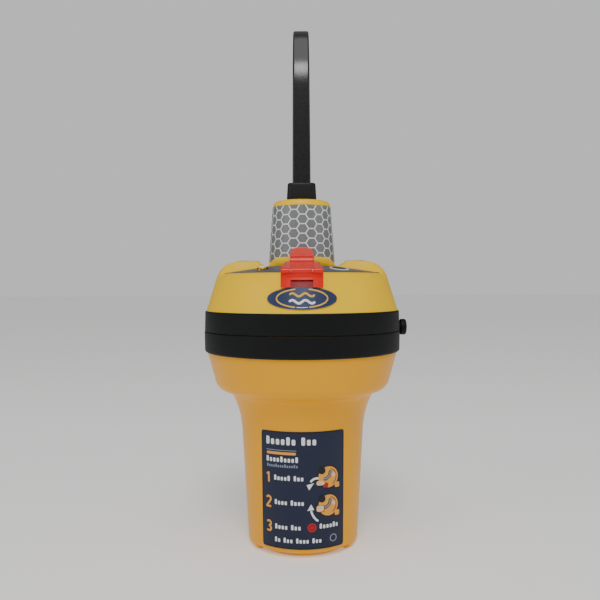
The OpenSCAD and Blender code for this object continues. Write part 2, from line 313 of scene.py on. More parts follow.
def moved(part, matrix, offset=(0, 0, 0)):
    """A part's points turned by a 3x3 matrix and moved."""
    points, faces = part
    return points @ np.asarray(matrix, float).T + np.asarray(offset, float), faces


def round_box(w, h, r, n=8, centre=(0, 0)):
    """Outline of a w by h rectangle with corners of radius r, anticlockwise."""
    a = np.linspace(0, math.pi / 2, n + 1)
    corners = [(w / 2 - r, h / 2 - r, 0), (r - w / 2, h / 2 - r, 1),
               (r - w / 2, r - h / 2, 2), (w / 2 - r, r - h / 2, 3)]
    out = [np.stack([x + r * np.cos(a + q * math.pi / 2), y + r * np.sin(a + q * math.pi / 2)], -1)
           for x, y, q in corners]
    return np.vstack(out) + np.asarray(centre, float)


def dense(outline, gap, close=True):
    """The same outline with points no further apart than gap."""
    ends = np.vstack([outline, outline[:1]]) if close else np.asarray(outline, float)
    out = []
    for a, b in zip(ends[:-1], ends[1:]):
        n = max(1, int(math.ceil(np.linalg.norm(b - a) / gap)))
        out.append(line(a, b, n)[:-1])
    if not close:
        out.append(ends[-1:])
    return np.vstack(out)


# ---------------------------------------------------------------- the beacon's own surfaces
def grip_radius(z):
    """Radius of the straight cone of the grip at height z."""
    return 27.2 + (z - 5.5) * (30.1 - 27.2) / 51.5


def side_radius(z):
    """Radius of the cap's side at height z."""
    return 47.3 - (z - BAND_HIGH) * 0.312


def neck_radius(z):
    """Radius of the slightly waisted neck at height z."""
    t = (z - 137.6) / (NECK_TOP - 2.8 - 137.6)
    return 16.1 * (1 - t) ** 2 + 30.2 * t * (1 - t) + 14.2 * t**2


def cone_height(r):
    """Height of the cap's cone at radius r."""
    return RIM_Z + (CONE_OUT - r) / (CONE_OUT - CONE_IN) * (NECK_FOOT_Z - RIM_Z)


def on_grip(u, v, lift):
    """Point u along the grip to the right of its front line and v above the base, lift above the grip."""
    r = grip_radius(v) + lift
    a = u / grip_radius(v)
    return np.stack([r * np.sin(a), -r * np.cos(a), v + 0 * a], -1)


def on_back(u, v, lift):
    """The same on the back of the grip."""
    p = on_grip(u, v, lift)
    return p * np.array([-1.0, -1.0, 1.0])


def on_cap(u, v, lift):
    """Point u to the right of the front line at height v, lift above the cap's side."""
    r = side_radius(v) + lift
    a = u / side_radius(120.0)
    return np.stack([r * np.sin(a), -r * np.cos(a), v + 0 * a], -1)


def on_front(u, v, lift):
    """Point at x = u and height v on the cap's side, lift above it, without stretching it round."""
    r = side_radius(v) + lift
    return np.stack([u, -np.sqrt(r * r - u * u), v], -1)


def on_neck(u, v, lift):
    """Point at arc length u round the neck at height v."""
    r = neck_radius(v) + lift
    a = u / 15.1
    return np.stack([r * np.sin(a), -r * np.cos(a), v + 0 * a], -1)


def on_cone(u, v, lift):
    """Point with plan position (u, v), lift above the cap's cone."""
    return np.stack([u + 0 * v, v + 0 * u, cone_height(np.hypot(u, v)) + lift], -1)


def patch(place, outline, lo, hi, rings=6, gap=1.2):
    """A thin plate with that outline on a surface: rings shrink to the middle above and below."""
    outline = dense(np.asarray(outline, float), gap)
    centre = outline.mean(0)
    s = np.linspace(0, 1, rings + 1)
    scale = np.r_[s, s[::-1]]
    lift = np.r_[np.full(rings + 1, hi), np.full(rings + 1, lo)]
    uv = centre + scale[:, None, None] * (outline - centre)[None]
    grid = place(uv[..., 0], uv[..., 1], lift[:, None] + 0 * uv[..., 0])
    return skin(grid)


def stroke(place, path, width, lo, hi, gap=0.5, close=False):
    """A line of ink along a path on a surface, with round ends: width follows the half circle there."""
    path = dense(np.asarray(path, float), gap, close)
    if close:
        t = np.roll(path, -1, 0) - np.roll(path, 1, 0)
        half = np.full(len(path), width / 2)
    else:
        lengths = np.r_[0, np.cumsum(np.linalg.norm(np.diff(path, axis=0), axis=1))]
        ends = width / 2 * np.array([0.0, 0.08, 0.25, 0.6])
        s = np.unique(np.round(np.r_[lengths, ends, lengths[-1] - ends], 6))
        s = s[(s >= 0) & (s <= lengths[-1])]
        path = np.stack([np.interp(s, lengths, path[:, 0]), np.interp(s, lengths, path[:, 1])], -1)
        t = np.gradient(path, axis=0)
        d = np.clip(np.minimum(s, s[-1] - s) / (width / 2), 0, 1)
        half = width / 2 * np.sqrt(np.clip(1 - (1 - d) ** 2, 0, 1))
    t /= np.linalg.norm(t, axis=1)[:, None]
    side = np.stack([-t[:, 1], t[:, 0]], -1) * half[:, None]
    left, right = path + side, path - side
    uv = np.stack([left, left, right, right], 1)
    lift = np.array([lo, hi, hi, lo])[None] + 0 * uv[..., 0]
    return skin(place(uv[..., 0], uv[..., 1], lift), wrap_rows=close)


def arc(centre, r, a0, a1, n=16, squash=1.0):
    """Points on an arc, angles in degrees."""
    a = np.radians(np.linspace(a0, a1, n + 1))
    return np.stack([centre[0] + r * np.cos(a), centre[1] + r * squash * np.sin(a)], -1)


# ---------------------------------------------------------------- materials
def linear(code):
    """Linear colour from an sRGB hex value."""
    parts = [int(code[i:i + 2], 16) / 255 for i in (1, 3, 5)]
    return [c / 12.92 if c <= 0.04045 else ((c + 0.055) / 1.055) ** 2.4 for c in parts] + [1.0]


def add(tree, kind, settings=None, links=None):
    """Adds one node, sets its attributes and inputs, and links its inputs to other nodes' outputs."""
    made = tree.nodes.new(kind)
    for key, value in (settings or {}).items():
        if isinstance(key, int) or key in made.inputs:
            made.inputs[key].default_value = value
        else:
            setattr(made, key, value)
    for key, output in (links or {}).items():
        tree.links.new(output, made.inputs[key])
    return made


def begin(name):
    """An empty node material with its shader, its output and Object coordinates."""
    made = bpy.data.materials.new(name)
    made.use_nodes = True
    tree = made.node_tree
    tree.nodes.clear()
    shader = add(tree, "ShaderNodeBsdfPrincipled")
    add(tree, "ShaderNodeOutputMaterial", links={"Surface": shader.outputs[0]})
    place = add(tree, "ShaderNodeTexCoord").outputs["Object"]
    return made, tree, shader, place


def moulded(name, colour, rough, grain_mm=0.6, bump=0.05, shade=0.05, swirl_mm=30.0, shine=0.35, **sockets):
    """Moulded plastic or rubber: slow cloudy change of tone, fine grain from the tool's surface."""
    made, tree, shader, place = begin(name)
    base = linear(colour)
    cloud = add(tree, "ShaderNodeTexNoise", {"Scale": 1 / (swirl_mm * MM), "Detail": 3.0}, {"Vector": place})
    dark = [c * (1 - shade) for c in base[:3]] + [1.0]
    light = [min(1.0, c * (1 + shade)) for c in base[:3]] + [1.0]
    tone = add(tree, "ShaderNodeMix", {"data_type": "RGBA", 6: dark, 7: light}, {0: cloud.outputs["Fac"]})
    tree.links.new(tone.outputs[2], shader.inputs["Base Color"])
    grain = add(tree, "ShaderNodeTexNoise", {"Scale": 1 / (grain_mm * MM), "Detail": 2.0}, {"Vector": place})
    spread = add(tree, "ShaderNodeMapRange", {"To Min": rough - 0.04, "To Max": rough + 0.05},
                 {"Value": grain.outputs["Fac"]})
    tree.links.new(spread.outputs[0], shader.inputs["Roughness"])
    relief = add(tree, "ShaderNodeBump", {"Strength": bump, "Distance": 0.02 * MM},
                 {"Height": grain.outputs["Fac"]})
    tree.links.new(relief.outputs[0], shader.inputs["Normal"])
    shader.inputs["Specular IOR Level"].default_value = shine
    for key, value in sockets.items():
        shader.inputs[key.replace("_", " ")].default_value = value
    return made


def metal(name, colour, rough, grain_mm=0.3):
    """Plain metal with the fine lines of its turning."""
    made, tree, shader, place = begin(name)
    shader.inputs["Metallic"].default_value = 1.0
    base = linear(colour)
    noise = add(tree, "ShaderNodeTexNoise", {"Scale": 1 / (grain_mm * MM), "Detail": 3.0}, {"Vector": place})
    tone = add(tree, "ShaderNodeMix", {"data_type": "RGBA", 6: [c * 0.85 for c in base[:3]] + [1.0], 7: base},
               {0: noise.outputs["Fac"]})
    tree.links.new(tone.outputs[2], shader.inputs["Base Color"])
    spread = add(tree, "ShaderNodeMapRange", {"To Min": rough * 0.8, "To Max": rough * 1.3},
                 {"Value": noise.outputs["Fac"]})
    tree.links.new(spread.outputs[0], shader.inputs["Roughness"])
    return made


MATERIALS = {}


def material(key):
    """Each finish, made once when it is first asked for."""
    if key not in MATERIALS:
        MATERIALS[key] = FINISHES[key]()
    return MATERIALS[key]


def colour(name):
    """A colour property as an sRGB hex value."""
    return getattr(bpy.context.scene.beacon_colours, name)


FINISHES = {
    # ASA float housing, injection moulded: satin, a faint orange peel and slightly cloudy pigment. Its yellow is darker
    # and more orange than the cap's: painted shade of the downward facing grip and bowl, on the same plastic as the
    # cap.
    "float_yellow": lambda: moulded("ASA float yellow, painted shade", colour("float_case"), 0.36, grain_mm=0.9, shine=0.25),
    # The same resin and pigment for the cap, given a brighter yellow: painted light on the cap's upward facing top
    "cap_yellow": lambda: moulded("ASA cap yellow, painted light", colour("cap"), 0.36, grain_mm=0.9, shine=0.25),
    # TPE bumper, moulded against a spark-eroded tool: dark, nearly matt
    "black_bumper": lambda: moulded("TPE bumper black", colour("bumper"), 0.55, grain_mm=0.5, bump=0.12, shade=0.2,
                                    shine=0.2),
    # TPU boot, moulded over the whip's stud: satin
    "boot_rubber": lambda: moulded("TPU boot black", "#141516", 0.46, grain_mm=0.5, bump=0.1, shade=0.15, shine=0.3),
    # Nylon coated spring blade: smooth and glossy
    "blade_black": lambda: moulded("nylon blade black", "#060607", 0.28, grain_mm=1.5, bump=0.02, shade=0.2, shine=0.8),
    # Polycarbonate guard, moulded with a clear red pigment: glossy, its thin tongue lets light through
    "guard_red": lambda: moulded("polycarbonate guard red", colour("guard"), 0.25, bump=0.02, shade=0.05,
                                 Subsurface_Weight=0.1, Subsurface_Scale=0.002),
    # Lighter pink copy of the red for the thin tongue: light passes through it, and its lighter base colour is painted
    # light on the tongue's upward leaning face
    "guard_thin": lambda: moulded("polycarbonate guard red, thin, painted light", "#ef5a50", 0.25, bump=0.02, shade=0.05,
                                  Subsurface_Weight=0.5, Subsurface_Scale=0.004),
    # Dark red sheet in the guard's window: painted shade of the recess, the guard's red darkened
    "guard_window": lambda: moulded("polycarbonate window, painted shade", "#8d0d12", 0.3, shade=0.1),
    # Printed polyester film, die cut: flat, a soft sheen
    "overlay_grey": lambda: moulded("polyester overlay grey", colour("overlay"), 0.42, shade=0.05),
    "label_navy": lambda: moulded("polyester label navy", colour("label"), 0.38, shade=0.06),
    "label_white": lambda: moulded("polyester label white", "#d9dadc", 0.42, shade=0.02),
    # Screen printed ink: flat and even, a little less glossy than its film
    "ink_white": lambda: moulded("screen ink white", "#e8eaec", 0.45, shade=0.02),
    "ink_orange": lambda: moulded("screen ink orange", "#eaa23c", 0.45, shade=0.04),
    "ink_grey": lambda: moulded("screen ink grey", "#7d8697", 0.45, shade=0.04),
    "ink_black": lambda: moulded("screen ink black", "#14161c", 0.45, shade=0.04),
    "ink_skin": lambda: moulded("screen ink pale orange", "#efc09a", 0.45, shade=0.04),
    "ink_red": lambda: moulded("screen ink red", "#b5121b", 0.4, shade=0.04),
    "ink_gold": lambda: moulded("screen ink gold", "#e2b13c", 0.4, shade=0.04),
    # Badge under a clear poured dome: glossy
    "badge_navy": lambda: moulded("domed badge navy", "#2f3a5c", 0.25, shade=0.08, shine=0.5),
    # Glass bead film under a clear cover, its cells closed by white welds
    "reflective_tape": lambda: moulded("bead film grey", "#7d8082", 0.35, grain_mm=0.35, bump=0.2, shade=0.08,
                                       swirl_mm=3.0, Metallic=0.15),
    "tape_weld": lambda: moulded("bead film weld white", "#f0f1ef", 0.4, shade=0.02),
    # Turned and plated metals: fine lines, bright edges
    "brass": lambda: metal("machined brass", "#c9a24a", 0.3),
    "gold_contact": lambda: metal("gold plated ring", "#d39a2c", 0.28),
    "steel": lambda: metal("stainless steel", "#b9bbbd", 0.28),
    "shield_tin": lambda: metal("tinned steel", "#c4c6c8", 0.35),
    # Silicone rubber keys: satin, even colour
    "key_red": lambda: moulded("silicone key red", "#c41f1a", 0.4),
    "key_green": lambda: moulded("silicone key green", "#1d4a3a", 0.4),
    "key_white": lambda: moulded("silicone key white", "#e4e6e3", 0.42, shade=0.02),
    # Milky light guide: light scatters inside
    "indicator_lens": lambda: moulded("diffusing lens white", "#e9e6dc", 0.3, shade=0.02, Subsurface_Weight=0.3,
                                      Subsurface_Scale=0.002),
    # Clear polycarbonate, polished tool: sharp highlights
    "strobe_lens": lambda: moulded("clear polycarbonate", "#f4f7f8", 0.04, bump=0.0, shade=0.0, shine=0.5,
                                   Transmission_Weight=1.0, IOR=1.58),
    # Inner pieces: lamp phosphor, sleeves, nylon, boards, ceramic, wire and seal, all plain
    "lamp_yellow": lambda: moulded("lamp phosphor", "#efe08a", 0.5),
    "cell_wrap": lambda: moulded("shrink sleeve blue", "#2450a4", 0.3),
    "inner_black": lambda: moulded("glass filled nylon black", "#1b1b1c", 0.55),
    "board_green": lambda: moulded("solder mask green", "#12502a", 0.35, swirl_mm=4.0, shade=0.15),
    "patch_ceramic": lambda: moulded("fired ceramic", "#c9b48c", 0.5),
    "wire_insulation": lambda: moulded("wire insulation", "#c9a577", 0.4),
    "seal_rubber": lambda: moulded("nitrile seal", "#1c1c1d", 0.55),
    # Matt studio paper, lit a little from behind so that it stays pale far from the lamps
    "floor": lambda: moulded("studio floor", "#f4f4f3", 0.9, bump=0.0, shade=0.005, swirl_mm=400.0,
                             Emission_Color=(1.0, 1.0, 1.0, 1.0), Emission_Strength=0.22),
}


# ---------------------------------------------------------------- what the user may change
def length(name, description, default):
    """A length property that is given in millimetres and kept in metres."""
    return bpy.props.FloatProperty(name=name, description=description, default=default * MM, unit="LENGTH",
                                   precision=5)


class BeaconSizes(bpy.types.PropertyGroup):
    """Sizes of the pieces that the frame doesn't give."""
    cell_pitch: length("Cell pitch", "Distance between columns of the reflective tape's cells", 4.24)
    cell_rise: length("Cell rise", "Distance between rows of the reflective tape's cells", 4.62)
    weld_width: length("Weld width", "Width of the white lines between the cells", 0.5)
    label_height: length("Label height", "Height of the front label", 54.8)
    label_width: length("Label width", "Width of the front label along the grip", 40.8)
    badge_width: length("Badge width", "Width of the oval badge", 31.0)
    badge_height: length("Badge height", "Height of the oval badge", 9.9)


class BeaconColours(bpy.types.PropertyGroup):
    """Colours of the main finishes, as sRGB hex values."""
    # The float's darker, more orange yellow is painted shade, and the cap's brighter yellow is painted light, on one
    # and the same plastic
    float_case: bpy.props.StringProperty(name="Float", description="Colour of the grip and bowl", default="#f2a900")
    cap: bpy.props.StringProperty(name="Cap", description="Colour of the cap and neck", default="#ffcb00")
    bumper: bpy.props.StringProperty(name="Bumper", description="Colour of the band", default="#0b0c0e")
    guard: bpy.props.StringProperty(name="Guard", description="Colour of the key guard", default="#e0200f")
    overlay: bpy.props.StringProperty(name="Overlay", description="Colour of the key overlay", default="#4f5a6c")
    label: bpy.props.StringProperty(name="Label", description="Colour of the front label", default="#141d38")


def sizes(name):
    """A size property in millimetres."""
    return getattr(bpy.context.scene.beacon_sizes, name) / MM


# ---------------------------------------------------------------- case halves
def make_lower_case():
    """Lower case: the outline of foot, grip, flare, ledge and bowl turned about Z, with its wall inside."""
    outer = joined(line([0, 0], [22, 0], 8), line([22, 0], [23.6, 0], 2), bend([23.6, 0], [26.7, 0.1], [27.0, 3], 8),
                   line([27.0, 3], [30.1, 57], 24), bend([30.1, 57], [30.9, 65.5], [34.2, 72], 16),
                   bend([34.2, 72], [35.2, 74.3], [38.4, 75.2], 12), bend([38.4, 75.2], [42.2, 76.2], [43.2, 80.6], 14),
                   line([43.2, 80.6], [CASE_R, BAND_LOW - 1], 8), line([CASE_R, BAND_LOW], [CASE_R, SEAM - 0.3], 2))
    wall_r = CASE_R - WALL
    inner = joined([wall_r, SEAM - 0.3], [wall_r, 95], [41, 81.5], [36.6, 78], [33, 75], [27.6, 57], [24.6, 4],
                   [22, 3], [0, 3])
    grid = lathe(joined(outer, inner), 384)
    # the front of the foot stands 1.9 mm clear of the table
    a = np.arctan2(grid[..., 0], -grid[..., 1])
    r = np.hypot(grid[..., 0], grid[..., 1])
    front = step((math.radians(57) - np.abs(a)) / math.radians(1.6)) * step((r - 22.4) / 0.8)
    outside = (np.arange(len(grid)) < len(outer))[:, None]
    lift = front * outside * np.clip(1 - grid[..., 2] / 6.0, 0, 1) * 1.9
    grid[..., 2] += lift
    # the grip and bowl take the darker copy of the yellow: painted shade
    piece = solid("float_case", [skin(grid)], "float_yellow", sharp=50)
    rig.ride(piece, "root")
    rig.replaces(piece, "lower_case")


def cap_height(x, y):
    """Height of the cap's outside over a plan point: side, rim and cone, raised to the dome within the two humps."""
    r = np.hypot(x, y)
    rim = bend([side_radius(126.5), 126.5], [42, 131.4], [CONE_OUT, RIM_Z], 24)[::-1]
    foot = bend([CONE_IN, NECK_FOOT_Z], [16.3, 136], [16.1, 137.6], 12)[::-1]
    plain = np.vstack([foot, rim, [[side_radius(BAND_HIGH), BAND_HIGH]]])
    base = np.interp(r, plain[:, 0], plain[:, 1])
    shoulder = bend([side_radius(127) - 0.1, 127], [41.3, 136.9], [33.0, 137.95], 24)[::-1]
    dome = np.vstack([[[0, 137.0], [18, 137.3], [26, HUMP_Z]], shoulder, [[side_radius(BAND_HIGH), BAND_HIGH]]])
    top = np.interp(r, dome[:, 0], dome[:, 1])
    inside = step((np.abs(x) - 15.8) / 6.5) * step((14.3 - np.abs(y)) / 3.4)
    return base + inside * np.maximum(top - base, 0)


def well(x, y):
    """Depth of the sunken places at a plan point: round ones under the keys, and those under the clear windows."""
    key_depth, window_depth, edge = 2.4, 4.3, 0.4
    depth = 0 * x
    for node in ("on_key", "test_key"):
        lo, hi = low(node), high(node)
        reach = (hi[0] - lo[0]) / 2 - 0.35
        away = np.hypot(x - (lo[0] + hi[0]) / 2, y - (lo[1] + hi[1]) / 2)
        depth = np.maximum(depth, key_depth * step((reach - away) / edge))
    half_w = (high("strobe_lens_right")[0] - low("strobe_lens_right")[0]) / 2 - 0.6
    half_d = high("strobe_lens_right")[1] - 0.6
    away = np.maximum(np.abs(np.abs(x) - HUMP_X) - half_w, np.abs(y) - half_d)
    return np.maximum(depth, window_depth * step(-away / edge))


def make_upper_case():
    """Cap, humps and neck: a polar grid at cap_height less well, then the neck's outline, closed by the inner wall."""
    side = np.r_[np.linspace(side_radius(BAND_HIGH) - 0.02, 43.6, 14), np.linspace(43.5, 38.5, 34),
                 np.linspace(38.2, 17.6, 76), np.linspace(17.4, 16.15, 6)]
    neck = joined([[neck_radius(z), z] for z in np.linspace(138.2, NECK_TOP - 2.9, 22)],
                  bend([14.2, NECK_TOP - 2.8], [14, NECK_TOP], [11.6, NECK_TOP], 10),
                  line([11, NECK_TOP], [0, NECK_TOP], 4))
    wall_r = CASE_R - WALL
    under = joined([[0, NECK_TOP - 3.5], [11.7, NECK_TOP - 3.5], [13.5, 138], [16, 133.3], [38.2, 129.4], [41, 126],
                    [wall_r, 112], [wall_r, SEAM - 0.2], [CASE_R, SEAM - 0.2], [CASE_R, BAND_HIGH],
                    [side_radius(BAND_HIGH) - 0.01, BAND_HIGH + 0.02]])
    n = 448
    flat = lathe(np.stack([side, 0 * side], -1), n)
    flat[..., 2] = cap_height(flat[..., 0], flat[..., 1]) - well(flat[..., 0], flat[..., 1])
    grid = np.concatenate([flat, lathe(neck, n), lathe(under, n)])
    # the cap takes the brighter copy of the yellow: painted light
    piece = solid("cap", [skin(grid, wrap_rows=True)], "cap_yellow", sharp=50)
    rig.ride(piece, "root")
    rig.replaces(piece, "upper_case")


def make_bumper_band():
    """Two rubber rings with rounded lips, and the anchor knob on their right."""
    def ring(name, lo, hi, r_lo, r_hi, lip_lo, lip_hi, node):
        outline = joined([CASE_R + 0.05, lo], bend([r_lo - lip_lo, lo], [r_lo, lo], [r_lo, lo + lip_lo], 8),
                         bend([r_hi, hi - lip_hi], [r_hi, hi], [r_hi - lip_hi, hi], 8), [CASE_R + 0.05, hi])
        piece = turned(name, outline, "black_bumper", n=320, loop=True)
        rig.ride(piece, "root")
        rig.replaces(piece, node)
    ring("bumper_low", BAND_LOW, SEAM - 0.08, BAND_R - 0.15, BAND_R, 1.5, 0.45, "band_lower")
    ring("bumper_high", SEAM + 0.08, BAND_HIGH, BAND_R - 0.15, BAND_R - 0.35, 0.35, 0.7, "band_upper")
    reach = high("lanyard_knob")[0]
    z = (low("lanyard_knob")[2] + high("lanyard_knob")[2]) / 2
    r = high("lanyard_knob")[1]
    outline = joined([0, BAND_R - 1.0], [2.9, BAND_R - 1.0], [2.9, BAND_R + 0.5],
                     bend([3.3, BAND_R + 0.5], [r, BAND_R + 0.5], [r, BAND_R + 1.1], 5),
                     bend([r, reach - 1.4], [r, reach - 0.5], [r - 1.1, reach - 0.35], 6),
                     bend([r - 1.1, reach - 0.35], [1.5, reach], [0, reach], 6))
    knob = solid("anchor_knob", [moved(skin(lathe(outline, 96)), Z_TO_X, (0, 0, z))], "black_bumper")
    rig.ride(knob, "root")
    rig.replaces(knob, "lanyard_knob")


# ---------------------------------------------------------------- neck, boot and whip
def make_tape():
    """Bead film round the neck, and the white welds as six-sided cells laid on it."""
    z0, z1 = low("reflective_tape")[2], high("reflective_tape")[2]
    z = np.linspace(z0, z1, 24)
    outline = joined(np.stack([neck_radius(z) + 0.28, z], -1), np.stack([neck_radius(z) + 0.02, z], -1)[::-1])
    film = turned("reflective_film", outline, "reflective_tape", n=256, loop=True)
    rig.ride(film, "root")
    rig.replaces(film, "reflective_tape")
    around = 2 * math.pi * 15.1
    columns = 2 * round(around / sizes("cell_pitch") / 2)
    pitch, rise, width = around / columns, sizes("cell_rise"), sizes("weld_width")
    reach = pitch * 2 / 3
    welds = []
    for i in range(columns):
        for j in range(-1, int((z1 - z0) / rise) + 2):
            u, v = i * pitch + 0.4, z0 + 1.6 + (j + (i % 2) / 2) * rise
            corners = [(u - reach / 2, v + rise / 2), (u + reach / 2, v + rise / 2), (u + reach, v),
                       (u + reach / 2, v - rise / 2)]
            for a, b in zip(corners[:-1], corners[1:]):
                a, b = np.array(a), np.array(b)
                if a[1] > b[1]:
                    a, b = b, a
                if b[1] <= z0 + 0.1 or a[1] >= z1 - 0.1:
                    continue
                if b[1] > a[1]:
                    run = (b - a) / (b[1] - a[1])
                    a = a + run * max(0.0, z0 + 0.1 - a[1])
                    b = b - run * max(0.0, b[1] - z1 + 0.1)
                welds.append(stroke(on_neck, [a, b], width, 0.2, 0.33, gap=0.8))
    piece = solid("film_welds", welds, "tape_weld", "reflective_tape")
    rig.ride(piece, "root")


def make_boot():
    """Rubber boot of the whip: a rounded rectangle that tapers upwards, its top edge drawn in along a quarter curve."""
    half_w, half_d = high("antenna_boot")[0], high("antenna_boot")[1]
    z0, z1 = low("antenna_boot")[2], BOOT_TOP
    sides = joined([0.0, 0.0], line([1.0, 0.0], [1.0, 0.12], 2), line([1.0, 0.15], [0.955, 0.82], 6),
                   bend([0.953, 0.84], [0.945, 1.0], [0.86, 1.0], 8), [0.0, 1.0])
    outline = round_box(2, 2, 0.42, 10)
    grid = np.zeros((len(sides), len(outline), 3))
    grid[..., 0] = sides[:, 0, None] * outline[None, :, 0] * half_w
    grid[..., 1] = sides[:, 0, None] * outline[None, :, 1] * half_d
    grid[..., 2] = (z0 + sides[:, 1] * (z1 - z0))[:, None]
    boot = solid("whip_boot", [skin(grid)], "boot_rubber", sharp=35)
    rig.ride(boot, "root")
    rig.replaces(boot, "antenna_boot")


def loop_bends():
    """The stowed loop's hinge points (y, z) from the frame, with straight stretches between and before and after."""
    points = [JOINTS[f"whip_bend_{k}"]["pos_m"] for k in range(1, BENDS + 1)]
    pins = np.array([[p[1], p[2]] for p in points]) / MM
    ends = np.array([[pins[0, 0], pins[0, 1] - 16.0], [pins[-1, 0], pins[-1, 1] - 16.0]])
    return np.vstack([ends[:1], pins, ends[1:]])


def blade(path, turn, widths):
    """Flat blade along a path in the YZ plane: a rounded strip section, square to the path, of the given widths."""
    outline = round_box(2, WHIP_T, WHIP_T * 0.42, 6)
    grid = np.zeros((len(path), len(outline), 3))
    across = outline[None, :, 0] - np.sign(outline[None, :, 0])
    grid[..., 0] = across + np.sign(outline[None, :, 0]) * widths[:, None] / 2
    through = np.stack([-np.cos(turn), np.sin(turn)], -1)
    grid[..., 1:] = path[:, None, :] + outline[None, :, 1, None] * -through[:, None, :]
    return skin(grid, caps=True)


def make_whip():
    """The stowed blade: up from the boot, over the half ellipse in six bending pieces, and down to the clip."""
    foot, tip = NECK_TOP + 4.2, TIP_Z + 6.0
    pins = loop_bends()
    loop_z = pins[0, 1]
    bend_length = np.linalg.norm(np.diff(pins, axis=0), axis=1).sum()
    total = (loop_z - foot) + bend_length + (loop_z - tip)
    top = (loop_z - foot) + bend_length / 2

    def width(s):
        return 9.1 - 1.1 * np.minimum(s / top, 1.0) - 0.5 * np.maximum(s - top, 0.0) / (total - top)

    z = np.linspace(foot, loop_z, 12)
    parts = [("blade_root", np.stack([0 * z, z], -1), 0 * z, width(z - foot))]
    done, halves = loop_z - foot, (pins[:-1] + pins[1:]) / 2
    halves[0], halves[-1] = pins[0], pins[-1]
    curved = []
    for k in range(1, BENDS + 1):
        before, pin, after = halves[k - 1], pins[k], halves[k]
        reach = [min(r, 0.92 * np.linalg.norm(p - pin)) for p, r in zip((before, after), CURVE[k - 1])]
        start = pin + (before - pin) / np.linalg.norm(before - pin) * reach[0]
        end = pin + (after - pin) / np.linalg.norm(after - pin) * reach[1]
        path = joined(line(before, start, 4), bend(start, pin, end, 18), line(end, after, 4))
        along = np.gradient(path, axis=0)
        turn = np.arctan2(along[:, 0], along[:, 1])
        turn[0], turn[-1] = (k - 1) * math.pi / BENDS, k * math.pi / BENDS
        s = done + np.r_[0, np.cumsum(np.linalg.norm(np.diff(path, axis=0), axis=1))]
        done = s[-1]
        parts.append((f"blade_bend_{k}", path, turn, width(s)))
        curved.append((before, after))
    z = np.linspace(loop_z, tip, 24)
    parts.append(("blade_leg", np.stack([0 * z + pins[-1, 0], z], -1), 0 * z + math.pi, width(done + loop_z - z)))
    for name, path, turn, widths in parts:
        piece = solid(name, [blade(path, turn, widths)], "blade_black")
        if name == "blade_root":
            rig.ride(piece, "root")
            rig.replaces(piece, "whip_root")
        elif name == "blade_leg":
            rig.ride(piece, f"whip_{BENDS}")
            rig.replaces(piece, f"whip_{BENDS}")
        else:
            k = int(name[-1])
            before = "root" if k == 1 else f"whip_{k - 1}"
            start, end = curved[k - 1]
            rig.blend(piece, before, f"whip_{k}", start=(0, *start * MM), end=(0, *end * MM))
            if k < BENDS:
                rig.replaces(piece, f"whip_{k}")
    # moulded end of the blade: a thicker pad with round corners
    lo, hi = low("whip_tip"), high("whip_tip")
    outline = round_box(hi[0] - lo[0], hi[2] - lo[2], 2.6, 8, ((lo[0] + hi[0]) / 2, (lo[2] + hi[2]) / 2))
    end = solid("blade_end", [prism(outline, lo[1], hi[1], 1)], "blade_black", bevel=(0.7, 4))
    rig.ride(end, f"whip_{BENDS}")
    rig.replaces(end, "whip_tip")


def make_stow_clip():
    """Open clip behind the band: a U in plan, extruded upwards, with rounded edges and flared cheeks."""
    lo, hi = low("stow_clip"), high("stow_clip")
    slot = 4.9
    back = 2 * LOOP_HALF - 1.8
    inside = joined([[x, math.sqrt((BAND_R + 0.05) ** 2 - x * x)] for x in np.linspace(hi[0], -hi[0], 13)])
    outline = joined([hi[0] - 1.2, hi[1]], [hi[0], hi[1] - 1.6], inside, [-hi[0], hi[1] - 1.6], [1.2 - hi[0], hi[1]],
                     [-slot, hi[1] - 0.3], bend([-slot, back + 0.8], [-slot, back], [0.8 - slot, back], 4),
                     bend([slot - 0.8, back], [slot, back], [slot, back + 0.8], 4), [slot, hi[1] - 0.3])
    piece = solid("stow_clip_body", [prism(outline, lo[2], hi[2], 2)], "black_bumper", bevel=(0.45, 3))
    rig.ride(piece, "root")
    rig.replaces(piece, "stow_clip")


